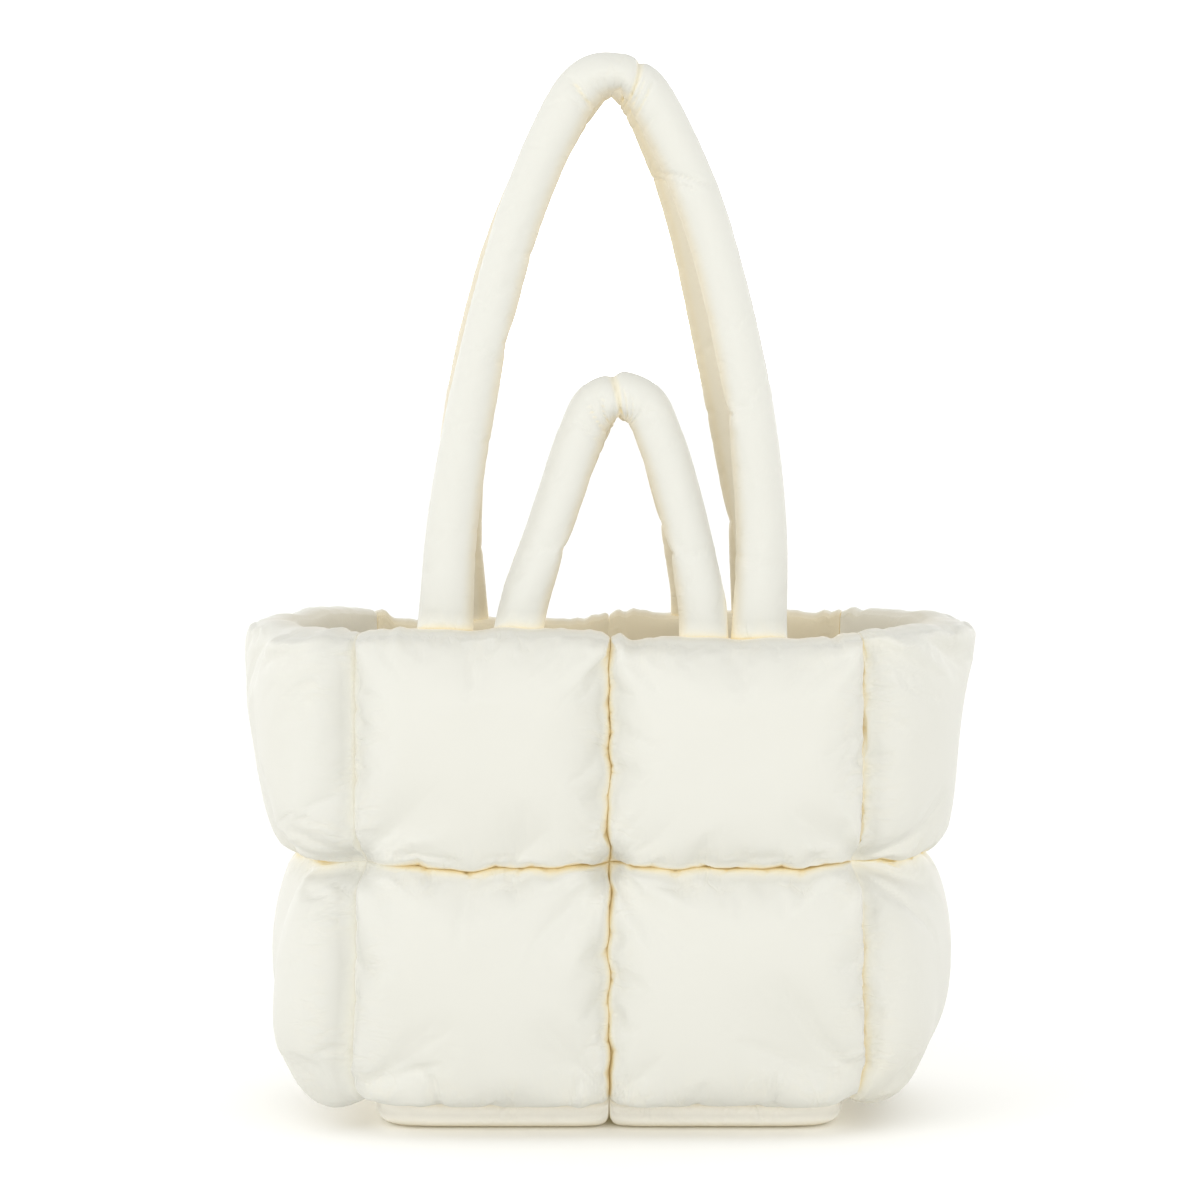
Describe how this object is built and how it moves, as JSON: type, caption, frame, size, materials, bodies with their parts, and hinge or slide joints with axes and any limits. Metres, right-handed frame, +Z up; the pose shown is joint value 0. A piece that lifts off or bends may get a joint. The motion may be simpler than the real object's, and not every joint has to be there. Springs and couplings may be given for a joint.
{
  "type": "padded shoulder bag",
  "caption": "Open-topped puffer shoulder bag of square stuffed puffs with bowed gussets, a flat padded base, long padded shoulder straps and short padded hand straps.",
  "frame": {"origin": "on the floor under the middle of the bag's overall box", "axes": "+Z up, -Y towards the front panel, +X to the right as seen from the front"},
  "size_m": [0.421, 0.2216, 0.6061],
  "materials": {
    "quilted_cloth": "smooth down-proof cloth with a soft low sheen",
    "strap_cloth": "smooth down-proof cloth with a soft low sheen"
  },
  "bodies": {
    "root": {"front_panel": "quilted_cloth", "back_panel": "quilted_cloth", "left_gusset": "quilted_cloth", "right_gusset": "quilted_cloth", "base_panel": "quilted_cloth", "long_strap_front": "strap_cloth", "long_strap_back": "strap_cloth", "short_handle_front": "strap_cloth", "short_handle_back": "strap_cloth"}
  },
  "joints": []
}
